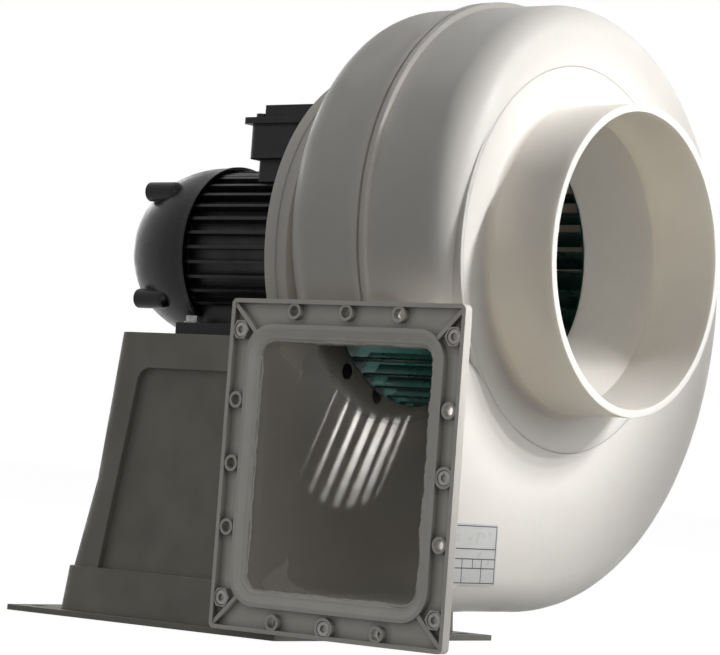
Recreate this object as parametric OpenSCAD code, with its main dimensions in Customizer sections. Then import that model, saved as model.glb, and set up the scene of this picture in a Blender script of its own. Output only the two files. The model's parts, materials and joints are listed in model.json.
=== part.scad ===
// Direct-drive centrifugal blower: moulded scroll casing with a round inlet
// spigot, a rectangular flanged outlet and a finned foot motor on a pedestal.
// The shaft runs along Y. The inlet faces -Y, the motor sits on the +Y side and
// the outlet faces -X. The origin is the centre of the underside of the base plate.

/* [Base plate] */
// Length of the base plate across the shaft
plate_x = 195; // [188:1:240]
// Length of the base plate along the shaft
plate_y = 190; // [184:1:230]
// Thickness of the base plate
plate_t = 3; // [2:0.5:6]
// Distance from the plate's side edge to a fixing hole
plate_hole_inset_x = 15; // [11:0.5:20]
// Distance from the plate's end edge to a fixing hole
plate_hole_inset_y = 11; // [9:0.5:13]
// Radius of the fixing holes in the base plate
plate_hole_r = 4.5; // [3:0.25:5.5]
// Radius of the base plate's corners
plate_corner_r = 1.5; // [1:0.5:8]

/* [Pedestal] */
// Height of the pedestal above the base plate
pedestal_h = 153; // [140:1:200]
// Width of the pedestal at its top
pedestal_top_w = 156; // [140:1:160]
// Width of the pedestal where it meets the plinth
pedestal_low_w = 168; // [162:1:170]
// Width of the plinth under the pedestal
plinth_w = 175; // [173:1:180]
// Height of the plinth
plinth_h = 24; // [15:1:32]
// Distance from the plate's centre to the pedestal's front wall
pedestal_front = 73; // [70:0.5:76]
// Distance from the plate's centre to the back of the pedestal's top
pedestal_back = 48; // [46:0.5:50]
// How far the back wall leans out down to its knee
pedestal_lean = 7.5; // [3:0.5:9]
// How far the back wall flares out below the knee
pedestal_flare = 10.5; // [6:0.5:11]
// Height of the knee in the back wall above the base plate
pedestal_knee_h = 72; // [50:1:90]
// How far the plinth spreads from its top to its foot
plinth_draft = 2; // [0.5:0.5:3]
// Radius of the pedestal's rear upright corners
pedestal_corner_r = 12; // [9:1:16]
// Thickness of the pedestal's top under the motor
pedestal_top_t = 6; // [5:0.5:8]
// Wall thickness of the pedestal
pedestal_wall = 4; // [3:0.25:5]
// Depth of the sunk side panel
panel_depth = 4; // [2:0.25:5]
// Distance from the back edge to the sunk side panel
panel_margin = 20; // [14:0.5:24]
// How far the panel's back edge leans out at its foot
panel_lean = 14; // [8:0.5:18]
// Distance from the pedestal's top to the sunk side panel
panel_top = 19; // [14:0.5:26]
// Corner radius of the sunk side panel
panel_r = 8; // [4:0.5:12]

/* [Scroll casing] */
// Outer radius of the first and smallest quarter of the scroll
scroll_r = 122; // [118:1:126]
// Growth of the scroll's radius at each quarter turn
scroll_step = 24.5; // [22:0.5:27]
// Outside width of the casing along the shaft
casing_w = 113; // [108:1:120]
// Wall thickness of the casing
casing_wall = 2.5; // [2:0.1:3]
// Radius of the casing's edge on the inlet side
front_edge_r = 18; // [14:1:20]
// Radius of the casing's edge on the motor side
rear_edge_r = 24; // [18:1:26]
// Height of the outlet duct, outside
duct_h = 132; // [124:1:134]
// Height of the two beads along the casing's joint
bead_h = 3; // [2:0.25:4]
// Width of each bead along the casing's joint
bead_w = 3.2; // [2:0.2:4]
// Groove between the two beads
bead_gap = 1.4; // [0.8:0.2:2]
// Radius of the round collar on the motor side of the casing
collar_r = 101.5; // [99:0.5:102]
// How far that collar stands behind the casing
collar_out = 4.2; // [3:0.2:6]

/* [Inlet] */
// Outer radius of the inlet spigot
spigot_r = 80; // [76:1:82]
// Length of the spigot in front of the casing
spigot_len = 39; // [30:1:50]
// Wall thickness of the spigot
spigot_wall = 4; // [3:0.25:5]
// Radius of the blend between the spigot and its plate
spigot_fillet = 4; // [2:0.5:6]
// Radius of the round inlet plate
inlet_plate_r = 100; // [97:0.5:101]
// Thickness of the round inlet plate
inlet_plate_t = 4; // [3:0.25:5]
// Inner radius of the inlet cone where it meets the impeller
eye_r = 63.5; // [62:0.5:64]
// Depth of the inlet cone behind the casing's front
cone_len = 36; // [34:0.5:37]

/* [Outlet flange] */
// Width of the outlet flange along the shaft
flange_y = 146.5; // [144:0.5:150]
// Height of the outlet flange
flange_z = 168.4; // [166:0.4:172]
// Depth of the outlet flange
flange_t = 5.5; // [5:0.25:7]
// Distance from the shaft to the outlet flange's face
flange_reach = 117.5; // [116.5:0.5:122]
// Outer corner radius of the flange
flange_corner_r = 3; // [3:0.5:5]
// Thickness of the flange's outer rim wall
flange_rim_t = 2.2; // [1.8:0.2:3]
// Thickness of the flange's channel floor
flange_floor_t = 1.6; // [1.4:0.1:1.8]
// Width of the raised ridge round the opening
ridge_w = 8; // [7:0.25:8]
// Corner radius of the flange's opening
open_r = 8; // [6:0.5:9]
// Length over which the duct's corners turn from round to nearly square
square_len = 30; // [24:1:34]
// Outer radius of the screw bosses on the flange
flange_boss_r = 4.2; // [3.8:0.1:4.4]
// Outer radius of the bosses that hold the flange's own screws
screw_boss_r = 5.4; // [5:0.1:5.6]
// Radius of the screw holes in the flange
flange_hole_r = 2.75; // [2.25:0.25:3]
// Distance between the outer screw columns of the flange
flange_cols = 133.6; // [132:0.2:135]
// Distance between the top and bottom screw rows of the flange
flange_rows = 156.8; // [155:0.2:158]
// Distance along the flange between neighbouring screws of a row
flange_row_pitch = 32.8; // [30:0.4:36]
// Distance along the flange between neighbouring screws of a column
flange_col_pitch = 32.4; // [30:0.4:36]
// Distance between the corner screws along a column
flange_corner_pitch = 136.6; // [134:0.2:138]

/* [Impeller] */
// Outer radius of the impeller
wheel_r = 80; // [76:1:82]
// Width of the impeller along the shaft
wheel_w = 62; // [56:1:64]
// Inner radius of the blade ring
blade_in_r = 66.5; // [65.5:0.5:68]
// Number of blades
blade_n = 40; // [32:1:44]
// Thickness of one blade
blade_t = 1; // [0.8:0.1:1.3]
// Thickness of the back plate
wheel_plate_t = 1.6; // [1.2:0.1:2.5]
// Thickness of the front ring
wheel_ring_t = 1.2; // [1:0.1:2]
// Gap between the impeller and the casing's back wall
wheel_back_gap = 10.5; // [9.5:0.5:12]
// Radius of the hub
hub_r = 13; // [12:0.5:15]
// Length of the hub
hub_len = 24; // [20:0.5:26]

/* [Motor] */
// Height of the shaft above the motor's feet
motor_h = 50; // [50:0.5:53]
// Radius of the shaft
shaft_r = 4.5; // [4:0.25:5]
// Length of the shaft beyond its front shoulder
shaft_out = 41; // [37:0.5:44]
// Distance between the foot bolts across the motor
foot_pitch_x = 80; // [78:0.5:84]
// Distance between the foot bolts along the motor
foot_pitch_y = 63; // [60:0.5:66]
// Radius of the foot bolt holes
foot_hole_r = 2.9; // [2.7:0.1:3.2]
// Thickness of the motor's feet
foot_t = 8; // [6:0.5:10]
// Outer radius of the motor's barrel
barrel_r = 42; // [41.5:0.5:43]
// Wall thickness of the motor's barrel
barrel_wall = 3.5; // [3:0.25:4]
// Length of the motor's barrel
barrel_len = 88; // [86:0.5:90]
// How far the cooling fins stand out from the barrel
fin_h = 5.4; // [4:0.2:5.6]
// Thickness of one cooling fin
fin_t = 1.8; // [1.4:0.1:2.4]
// Number of places for fins round the barrel
fin_n = 36; // [30:2:40]
// How far the fan cowl stands outside the tips of the fins
cowl_over = 1.8; // [1.8:0.1:2.2]
// Length of the fan cowl
cowl_len = 57; // [55:0.5:60]
// Wall thickness of the fan cowl
cowl_wall = 1.2; // [1:0.1:1.3]
// Radius of the wide arc of the cowl's dome
cowl_arc_r = 68; // [60:1:75]
// Radius of the tighter arc at the cowl's end
cowl_edge_r = 28; // [24:1:30]
// Angle at which the two arcs of the dome meet
cowl_turn = 31; // [25:1:35]
// Distance from the cowl's open edge to the back of its lugs
lug_reach = 40.5; // [38:0.5:44]
// Outer width of the terminal box
tbox_w = 62; // [58:1:66]
// Outer length of the terminal box along the shaft
tbox_l = 64; // [60:1:68]
// Height of the terminal box's wall
tbox_h = 18; // [16:0.5:22]
// Wall thickness of the terminal box
tbox_wall = 2.4; // [2:0.1:3]
// Corner radius of the terminal box
tbox_r = 6; // [4:0.5:8]

/* [Hidden] */
$fn = 96;

// Overrun of a cutter past the face that it cuts
over = 1;
// Radial clearance between round pieces that fit together
fit = 0.04;
// Clearance between flat pieces that drop into each other
drop_fit = 0.15;

// Heights from the ground up
pedestal_z = plate_t;
foot_z = plate_t + pedestal_h;
shaft_z = foot_z + motor_h;

// Places along the shaft, from the pedestal's front wall towards the inlet
disc_t = 7;
disc_back = -pedestal_front;
disc_front = disc_back - disc_t;
casing_back = disc_front - collar_out;
casing_mid = casing_back - casing_w / 2;
casing_front = casing_back - casing_w;
half_w = casing_w / 2;
wheel_back = casing_back - casing_wall - wheel_back_gap;
wheel_front = wheel_back - wheel_w;

// Places along the shaft on the motor's side
shoulder_gap = 2.6;
shoulder_y = disc_back + shoulder_gap;
foot_from_shoulder = 32;
foot_front_y = shoulder_y + foot_from_shoulder;
foot_back_y = foot_front_y + foot_pitch_y;
shield_len = 13;
barrel_front = shoulder_y + shield_len;
barrel_back = barrel_front + barrel_len;

// Scroll: three quarter turns about the corners of a small square
arc_c = scroll_step / 2;
scroll_left = scroll_r - arc_c;
scroll_bottom = scroll_r + 2 * scroll_step + arc_c;
duct_end = flange_reach - flange_t;
duct_top = duct_h - scroll_bottom;
cut_share = 0.44;
corner_cut = cut_share * max(front_edge_r, rear_edge_r);

// Outlet flange centre and opening
open_y = casing_w - 2 * casing_wall;
open_z = duct_h - 2 * casing_wall;
flange_mid_z = shaft_z - scroll_bottom + duct_h / 2;

// Steps of the flange's bosses and ribs below its face, and its own screws' seats
face_step = 0.3;
seat_r = 3.9;
seat_in_boss = 3;
rib_share = 0.82;

// Round seats of the inlet plate and of the motor-side disc
inlet_seat_r = inlet_plate_r + drop_fit;
inlet_ledge_w = 8;
inlet_ledge_r = inlet_plate_r - inlet_ledge_w;
inlet_ledge_t = 3;
inlet_collar_wall = 1.6;
inlet_collar_r = inlet_seat_r + inlet_collar_wall;
inlet_collar_len = 15;
disc_lip = 0.5;
disc_r = collar_r + disc_lip;
collar_w = 11.5;
disc_bore_r = collar_r - collar_w;
disc_screw_ring_r = collar_r - collar_w / 2;
case_bolt_in = 13;
case_bolt_ring_r = disc_bore_r - case_bolt_in;
case_bolt_sink = 3.6;
seal_r = 14;
seal_len = 8;

// Screws of three sizes: shank radius, head radius, head height, nut height
m3 = 1.5;
m4 = 2;
m5 = 2.5;
head_share = 1.8;
hex_share = 1.35;
height_share = 1.3;
nut_share = 1.6;
slack = 0.2;
tip = 0.6;

// Motor places and seats
bearing_r = 13;
bearing_w = 8;
preload_t = 0.8;
shield_t = 4;
seat_in = 2;
seat_end = seat_in + bearing_w + preload_t;
shaft_mid_r = 7;
winding_out = 10;
winding_in_front = 7.5;
winding_in_back = 5.5;
core_len = barrel_len - winding_in_front - winding_in_back - 2 * winding_out;
core_mid_y = barrel_front + winding_in_front + winding_out + core_len / 2;
core_r = barrel_r - barrel_wall - fit;
gap_share = 0.65;
gap_r = core_r * gap_share;
fin_r = barrel_r + fin_h;
cowl_r = fin_r + cowl_over;
screw_post_r = 4.2;
screw_post_out = 1.5;
screw_ring_r = barrel_r + screw_post_out;
lug_r = 5.5;
lug_in = 2.9;
lug_ring_r = cowl_r - lug_in;
lug_len = 18;
lug_sink = 2.4;
cowl_screw_in = 5;
cowl_screw_ring_r = cowl_r - cowl_screw_in;
cowl_ear_r = 3.3;
cowl_lap = 2;
cowl_front = barrel_back - cowl_lap;
cowl_back = cowl_front + cowl_len;
lug_back = cowl_front + lug_reach;
lug_turns = [44, 136, 218, 322];
shield_screw_turns = [65, 115, 245, 295];
fan_gap = 2;
fan_front = barrel_back + shield_len + fan_gap;
fan_len = 15;
fan_in_cowl = 9.2;
fan_r = cowl_r - fan_in_cowl;

// Terminal box places
tbox_over = 9;
tbox_z = shaft_z + barrel_r + tbox_over;
tbox_from_front = 29;
tbox_y = barrel_front + tbox_from_front;
tbox_top = tbox_z + tbox_h;
gasket_t = 1;
lid_rim = 2.5;
lid_rim_t = 3.5;
lid_r = 3.6;
lid_rise = 7;
crown_in = 1;
crown_out = 1.2;
crown_slope = 5.5;
crown_notch = 12;
neck_in_x = 6;
neck_in_y = 3.5;
neck_r = 3;
entry_r = 10;
gland_r = 5;
dome_share = 1.2;
mouth_share = 0.8;
post_in = 5.5;

// Impeller hub, rivets, key and set screw
hub_front_share = 0.65;
hub_front = hub_len * hub_front_share;
hub_rim = 9;
hub_rim_t = 3;
key_w = 3;
set_screw_in = 5;

// Blades: bend radius as a share of their depth, and the angle that they turn through
bend_share = 0.85;
blade_turn = 82;

// Motor core, slots and windings
air_gap = 0.5;
end_ring_t = 5;
ring_in_share = 0.389;
slot_n = 12;
slot_w = 5;
slot_in_share = 0.223;
slot_in = (core_r - gap_r) * slot_in_share;

// Feet, screws, fan and grille
foot_half = 8.5;
foot_web_t = 6;
foot_end = 5.6;
washer_t = 1;
screw_in = 8;
fan_blade_n = 7;
grille_n = 4;
grille_in = 8;
grille_pitch = 5;
grille_web_a = 16;
grille_deep = 5;
skin = 0.5;

// Terminal block
block_w = 36;
block_d = 14;
block_h = 8;
block_y = tbox_y + tbox_l / 2 - 2 * post_in - block_d / 2;

// Colours
pp_white = [0.90, 0.89, 0.86];
pp_grey = [0.36, 0.36, 0.34];
motor_black = [0.09, 0.09, 0.10];
wheel_green = [0.06, 0.20, 0.16];
steel = [0.72, 0.72, 0.74];
copper = [0.72, 0.42, 0.22];
brass = [0.80, 0.65, 0.32];

// Places children on the shaft axis: their Z runs along +Y and their Y points down
module on_shaft(y) {
    translate([0, y, shaft_z]) rotate([-90, 0, 0]) children();
}

// Places children on the outlet's axis: their X points up, their Z out of the outlet
module on_outlet(x) {
    translate([-x, casing_mid, flange_mid_z]) rotate([0, -90, 0]) children();
}

// A tube or disc on the shaft axis
module ring(y, len, r_out, r_in) {
    on_shaft(y) difference() {
        cylinder(h = len, r = r_out);
        translate([0, 0, -over]) cylinder(h = len + 2 * over, r = r_in);
    }
}

// A rectangle with round corners, centred
module round_rect(w, h, r) {
    square([w - 2 * r, h], center = true);
    square([w, h - 2 * r], center = true);
    for (sx = [-1, 1], sy = [-1, 1])
        translate([sx * (w / 2 - r), sy * (h / 2 - r)]) circle(r = r);
}

// A block with round upright corners, its base centred at the origin
module round_block(w, d, h, r) {
    linear_extrude(h) round_rect(w, d, r);
}

// A profile carried round a rounded rectangle; the profile's X counts outwards
module frame_sweep(w, h, r) {
    for (s = [0, 1]) rotate([0, 0, 180 * s]) {
        translate([w / 2 - r, h / 2 - r, 0]) rotate_extrude(angle = 90) translate([r, 0]) children();
        translate([-w / 2 + r, h / 2 - r, 0]) rotate([0, 0, 90]) rotate_extrude(angle = 90)
            translate([r, 0]) children();
        translate([w / 2, h / 2 - r, 0]) rotate([90, 0, 0]) linear_extrude(h - 2 * r) children();
        translate([-w / 2 + r, h / 2, 0]) rotate([0, 0, 90]) rotate([90, 0, 0])
            linear_extrude(w - 2 * r) children();
    }
}

// A screw with its head above the origin and its shank below; sides 6 gives a hex head
module screw(r, len, sides) {
    difference() {
        cylinder(h = height_share * r, r = head_share * r, $fn = sides);
        if (sides > 6) translate([0, 0, height_share * r / 2]) cylinder(h = over * r, r = r, $fn = 6);
    }
    translate([0, 0, -len]) cylinder(h = len, r = r);
}

// A hex nut standing on the origin
module nut(r) {
    difference() {
        cylinder(h = nut_share * r, r = head_share * r, $fn = 6);
        translate([0, 0, -over]) cylinder(h = nut_share * r + 2 * over, r = r + fit);
    }
}

// Cross-section of the casing from its turning axis out to radius r.
// Upwards is towards the motor; f and b are the edge radii on the inlet and motor sides.
module casing_section(r, h, f, b) {
    m = max(f, b);
    translate([0, -h]) square([r - m, 2 * h]);
    translate([0, -h]) square([r - f, h]);
    translate([0, -h + f]) square([r, 2 * h - f - b]);
    translate([r - f, -h + f]) circle(r = f);
    translate([r - b, h - b]) circle(r = b);
}

// One turn of a section about a corner of the scroll's square,
// from angle a1 round to a2, counted from +X towards +Z
module scroll_turn(cx, cz, a1, a2) {
    translate([cx, casing_mid, shaft_z + cz]) rotate([-90, 0, 0])
        rotate([0, 0, -a2]) rotate_extrude(angle = a2 - a1) children();
}

// Cross-section of the outlet duct; X is up from its centre, Y towards the motor
module duct_section(d) {
    h = duct_h / 2 - d;
    w = half_w - d;
    f = front_edge_r - d;
    b = rear_edge_r - d;
    square([2 * h, 2 * (w - max(f, b))], center = true);
    translate([-h + max(f, b), -w]) square([2 * (h - max(f, b)), 2 * w]);
    translate([-h, -w + f]) square([2 * h, w]);
    translate([-h + f, -w]) square([2 * (h - f), w]);
    for (s = [-1, 1]) {
        translate([s * (h - f), -w + f]) circle(r = f);
        translate([s * (h - b), w - b]) circle(r = b);
    }
}

// The scroll and its outlet duct as one solid, drawn in by d from the outside
module casing_solid(d, end_x) {
    h = half_w - d;
    f = front_edge_r - d;
    b = rear_edge_r - d;
    scroll_turn(arc_c, arc_c, 90, 270) casing_section(scroll_r - d, h, f, b);
    scroll_turn(arc_c, -arc_c, 0, 90) casing_section(scroll_r + scroll_step - d, h, f, b);
    scroll_turn(-arc_c, -arc_c, -90, 0) casing_section(scroll_r + 2 * scroll_step - d, h, f, b);
    on_outlet(arc_c) linear_extrude(duct_end - square_len / 2 - arc_c) duct_section(d);
    on_outlet(duct_end - square_len) difference() {
        linear_extrude(end_x - duct_end + square_len)
            round_rect(duct_h - 2 * d, 2 * h, open_r + casing_wall - d);
        for (s = [-1, 1], t = [-1, 1]) translate([s * (duct_h / 2 - d), t * h, 0])
            rotate([0, 0, atan2(-t, -s)]) rotate([90, 0, 0]) translate([0, 0, -2 * corner_cut])
            linear_extrude(4 * corner_cut) polygon([
                [-over, -over], [corner_cut, -over], [corner_cut, 0], [0, square_len], [-over, square_len]
            ]);
    }
}

// Half of the hollow casing, with its bead along the joint: side -1 is the inlet
// side, side 1 the motor side
module casing_half(side) {
    reach = scroll_r + flange_reach;
    bead_y = side < 0 ? -bead_gap / 2 - bead_w : bead_gap / 2;
    difference() {
        union() {
            intersection() {
                casing_solid(0, duct_end);
                translate([-reach, side < 0 ? casing_mid - casing_w : casing_mid, 0])
                    cube([2 * reach, casing_w, 2 * shaft_z]);
            }
            intersection() {
                casing_solid(-bead_h, duct_end);
                translate([-reach, casing_mid + bead_y, 0]) cube([2 * reach, bead_w, 2 * shaft_z]);
            }
        }
        casing_solid(casing_wall, duct_end + over);
    }
}

module front_shell() {
    color(pp_white) difference() {
        union() {
            casing_half(-1);
            ring(casing_front, inlet_collar_len, inlet_collar_r, inlet_seat_r);
            ring(casing_front + inlet_plate_t, inlet_ledge_t, inlet_collar_r, inlet_ledge_r);
        }
        on_shaft(casing_front - over) cylinder(h = inlet_collar_len, r = inlet_ledge_r);
        on_shaft(casing_front - over) cylinder(h = inlet_plate_t + over, r = inlet_seat_r);
    }
}

module rear_shell() {
    back = casing_back - casing_wall;
    color(pp_white) difference() {
        union() {
            casing_half(1);
            ring(back, casing_wall + collar_out, collar_r, disc_bore_r);
        }
        on_shaft(back - over) cylinder(h = casing_wall + collar_out + 2 * over, r = disc_bore_r);
        disc_screw_places(disc_front) translate([0, 0, -collar_out - over])
            cylinder(h = collar_out + 2 * over, r = m4 + fit);
    }
}

// Plate, spigot, blend and cone of the inlet turned as one piece
module inlet_cone() {
    mouth_r = spigot_r - spigot_wall;
    plate_r = inlet_plate_r;
    color(pp_white) on_shaft(casing_front) rotate_extrude() difference() {
        union() {
            translate([mouth_r, 0]) square([plate_r - mouth_r, inlet_plate_t]);
            translate([mouth_r, -spigot_len]) square([spigot_wall, spigot_len + inlet_plate_t]);
            translate([spigot_r - spigot_wall, -spigot_fillet])
                square([spigot_wall + spigot_fillet, spigot_fillet + inlet_plate_t]);
            polygon([
                [mouth_r - fit, 0], [mouth_r + spigot_wall, inlet_plate_t],
                [eye_r + spigot_wall - over, cone_len], [eye_r, cone_len]
            ]);
        }
        translate([spigot_r + spigot_fillet, -spigot_fillet]) circle(r = spigot_fillet);
    }
}

// Places children on the screws that hold the casing to the motor-side disc
module disc_screw_places(y) {
    on_shaft(y) for (a = [-20:55:200]) rotate([0, 0, -a]) translate([disc_screw_ring_r, 0, 0])
        children();
}

// Places children on the bolts that hold the motor-side disc to the pedestal
module case_bolt_places(y) {
    on_shaft(y) for (a = [-33:22:33]) rotate([0, 0, 90 + a]) translate([case_bolt_ring_r, 0, 0])
        children();
}

module motor_side_disc() {
    boss = casing_wall + collar_out;
    color(pp_white) difference() {
        union() {
            ring(disc_front, disc_t, disc_r, seal_r);
            ring(disc_front - boss, boss + disc_t, disc_bore_r - drop_fit, seal_r);
        }
        disc_screw_places(disc_front - over) cylinder(h = disc_t + 2 * over, r = m4 + slack);
        case_bolt_places(disc_front - boss - over) {
            cylinder(h = disc_t + boss + 2 * over, r = m5 + slack);
            cylinder(h = case_bolt_sink + over, r = head_share * m5 + slack);
        }
    }
}

module disc_screws() {
    color(steel) disc_screw_places(disc_back) screw(m4, disc_t + collar_out, $fn);
}

module shaft_seal() {
    color(motor_black) ring(disc_back - disc_t, seal_len, seal_r - fit, shaft_r + 2 * fit);
}

module casing_bolts() {
    head_y = disc_front - casing_wall - collar_out + case_bolt_sink;
    len = disc_back - head_y + pedestal_wall + 2 * m5 * nut_share;
    color(steel) case_bolt_places(head_y) rotate([180, 0, 0]) screw(m5, len, 6);
}

module casing_nuts() {
    color(steel) case_bolt_places(disc_back + pedestal_wall) nut(m5);
}

// Places children on the flange's holes: along the rows, the columns and the corners
module flange_row_places() {
    for (s = [-1, 1], k = [-1:1]) translate([s * flange_rows / 2, k * flange_row_pitch, 0]) children();
}
module flange_column_places() {
    for (s = [-1, 1], k = [-1:1]) translate([k * flange_col_pitch, s * flange_cols / 2, 0]) children();
}
module flange_corner_places() {
    for (s = [-1, 1], t = [-1, 1])
        translate([s * flange_corner_pitch / 2, t * flange_cols / 2, 0]) children();
}

module outlet_flange() {
    ridge_h = flange_t - flange_floor_t;
    rib_t = flange_rim_t;
    boss_h = ridge_h - face_step;
    rib_l = sqrt(2) * (flange_z - open_z) / 2 * rib_share;
    color(pp_white) on_outlet(flange_reach) difference() {
        union() {
            translate([0, 0, -flange_t]) linear_extrude(flange_floor_t) difference() {
                round_rect(flange_z, flange_y, flange_corner_r);
                round_rect(open_z, open_y, open_r);
            }
            translate([0, 0, -flange_t]) linear_extrude(flange_t) difference() {
                round_rect(flange_z, flange_y, flange_corner_r);
                round_rect(flange_z - 2 * flange_rim_t, flange_y - 2 * flange_rim_t,
                           flange_corner_r - flange_rim_t);
            }
            translate([0, 0, -ridge_h]) frame_sweep(open_z, open_y, open_r) polygon([
                [0, 0], [ridge_w, 0], [ridge_w, ridge_h], [ridge_w - rib_t, ridge_h],
                [rib_t, ridge_h / 2], [rib_t / 2, ridge_h / 2], [0, ridge_h / 2 - rib_t / 2]
            ]);
            translate([0, 0, -ridge_h]) {
                flange_row_places() cylinder(h = boss_h, r = flange_boss_r);
                flange_column_places() cylinder(h = boss_h, r = flange_boss_r);
                flange_corner_places() rotate([0, 0, 30]) cylinder(h = boss_h, r = screw_boss_r, $fn = 6);
                flange_middle_places() cylinder(h = boss_h - fit, r = screw_boss_r);
                for (s = [-1, 1], t = [-1, 1])
                    translate([s * (flange_z + open_z) / 4, t * (flange_y + open_y) / 4, 0])
                    rotate([0, 0, s * t * 45]) translate([-rib_l / 2, -rib_t / 2, 0])
                    cube([rib_l, rib_t, boss_h - face_step]);
            }
        }
        translate([0, 0, -flange_t - over]) {
            flange_row_places() cylinder(h = flange_t + 2 * over, r = flange_hole_r);
            flange_column_places() cylinder(h = flange_t + 2 * over, r = flange_hole_r);
        }
        flange_screw_places() {
            translate([0, 0, -flange_t - over]) cylinder(h = flange_t + 2 * over, r = m4 + slack);
            translate([0, 0, -face_step - seat_in_boss]) cylinder(h = seat_in_boss + over, r = seat_r);
        }
    }
}

// Places children on the middles of the inlet-side column and of the bottom row
module flange_middle_places() {
    translate([0, -flange_cols / 2, 0]) children();
    translate([-flange_rows / 2, 0, 0]) children();
}

// Places children on the six holes with the flange's own screws
module flange_screw_places() {
    flange_corner_places() children();
    flange_middle_places() children();
}

module flange_screws() {
    seat = face_step + seat_in_boss;
    len = flange_t - seat + m4 * nut_share + tip;
    color(steel) on_outlet(flange_reach - seat) flange_screw_places() screw(m4, len, $fn);
}

module flange_nuts() {
    color(steel) on_outlet(flange_reach - flange_t) flange_screw_places() rotate([180, 0, 0]) nut(m4);
}

module impeller_back_plate() {
    color(wheel_green) difference() {
        ring(wheel_back - wheel_plate_t, wheel_plate_t, wheel_r, hub_r + fit);
        rivet_places(wheel_back - wheel_plate_t - over)
            cylinder(h = wheel_plate_t + 2 * over, r = m3 + fit);
    }
}

// Forward-curved blades: arcs that start radially and lean into the turn
module impeller_blades() {
    bend_r = (wheel_r - blade_in_r) * bend_share;
    len = wheel_w - wheel_plate_t - wheel_ring_t;
    color(wheel_green) on_shaft(wheel_front + wheel_ring_t) for (k = [1:blade_n])
        rotate([0, 0, 360 * k / blade_n]) translate([blade_in_r + blade_t / 2, bend_r, 0])
        rotate([0, 0, -90]) rotate_extrude(angle = blade_turn) translate([bend_r - blade_t / 2, 0])
        square([blade_t, len]);
}

module impeller_front_ring() {
    color(wheel_green) ring(wheel_front, wheel_ring_t, wheel_r, blade_in_r);
}

// Places children on the rivets between the hub and the back plate
module rivet_places(y) {
    on_shaft(y) for (a = [30:60:330]) rotate([0, 0, a]) translate([hub_r + hub_rim / 2, 0, 0]) children();
}

module impeller_hub() {
    color(steel) difference() {
        union() {
            ring(wheel_back - hub_front, hub_len, hub_r, shaft_r + fit);
            ring(wheel_back, hub_rim_t, hub_r + hub_rim, shaft_r + fit);
        }
        rivet_places(wheel_back - over) cylinder(h = hub_rim_t + 2 * over, r = m3 + fit);
        key_block(fit);
        set_screw_place() translate([0, 0, -shaft_r]) cylinder(h = hub_r + shaft_r, r = m4 + fit);
    }
}

module hub_rivets() {
    grip = wheel_plate_t + hub_rim_t;
    color(steel) rivet_places(wheel_back - wheel_plate_t) {
        cylinder(h = grip, r = m3);
        translate([0, 0, -m3]) cylinder(h = m3, r = m3 * head_share);
        translate([0, 0, grip]) cylinder(h = m3, r = m3 * head_share);
    }
}

// The set screw lies across the shaft, in front of the impeller's back plate
module set_screw_place() {
    on_shaft(wheel_back - hub_front + set_screw_in) rotate([0, 90, 0])
        translate([0, 0, shaft_r + fit]) children();
}

module hub_set_screw() {
    color(steel) set_screw_place() difference() {
        cylinder(h = hub_r - shaft_r - m4, r = m4);
        translate([0, 0, hub_r - shaft_r - 2 * m4]) cylinder(h = 2 * m4, r = m4 / 2, $fn = 6);
    }
}

// The key between shaft and hub, grown by g on every side
module key_block(g) {
    translate([-key_w / 2 - g, wheel_back - hub_front + over, shaft_z + shaft_r - key_w / 2 - g])
        cube([key_w + 2 * g, hub_len - 2 * over, key_w + 2 * g]);
}

module shaft_key() {
    color(steel) key_block(0);
}

module motor_shaft() {
    mid_front = barrel_front - seat_end + bearing_w;
    mid_back = barrel_back + seat_in;
    color(steel) difference() {
        union() {
            on_shaft(shoulder_y - shaft_out) cylinder(h = mid_front - shoulder_y + shaft_out, r = shaft_r);
            on_shaft(mid_front) cylinder(h = mid_back - mid_front, r = shaft_mid_r);
            on_shaft(mid_back) cylinder(h = fan_front + fan_len - mid_back, r = shaft_r);
        }
        key_block(fit);
    }
}

module rotor_core() {
    color(steel) ring(core_mid_y - core_len / 2, core_len, gap_r - air_gap, shaft_mid_r + fit);
}

module rotor_end_rings() {
    inner = shaft_mid_r + (gap_r - shaft_mid_r) * ring_in_share;
    color(steel) for (y = [core_mid_y - core_len / 2 - end_ring_t, core_mid_y + core_len / 2])
        ring(y, end_ring_t, gap_r - 2 * air_gap - over, inner);
}

// Slots of the stator, each w wide, between radii r1 and r2
module slots(w, r1, r2, len) {
    for (k = [1:slot_n]) rotate([0, 0, 360 * k / slot_n]) translate([r1, -w / 2, 0])
        cube([r2 - r1, w, len]);
}

module stator_core() {
    color(steel) difference() {
        ring(core_mid_y - core_len / 2, core_len, core_r, gap_r);
        on_shaft(core_mid_y - core_len / 2 - over)
            slots(slot_w, gap_r + slot_in, core_r - slot_in, core_len + 2 * over);
    }
}

module stator_windings() {
    r1 = gap_r + slot_in + drop_fit;
    r2 = core_r - slot_in - drop_fit;
    total = core_len + 2 * winding_out;
    color(copper) {
        on_shaft(core_mid_y - total / 2) slots(slot_w - 2 * drop_fit, r1, r2, total);
        for (s = [-1, 1]) on_shaft(core_mid_y + s * (core_len / 2 + winding_out / 2)) rotate_extrude()
            translate([(r1 + r2) / 2, 0]) round_rect(r2 - r1 + 2 * drop_fit, winding_out - over, 2 * over);
    }
}

// Places children on the four screws that hold an end shield
module shield_screw_places() {
    for (a = shield_screw_turns) rotate([0, 0, a]) translate([screw_ring_r, 0, 0]) children();
}

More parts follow.
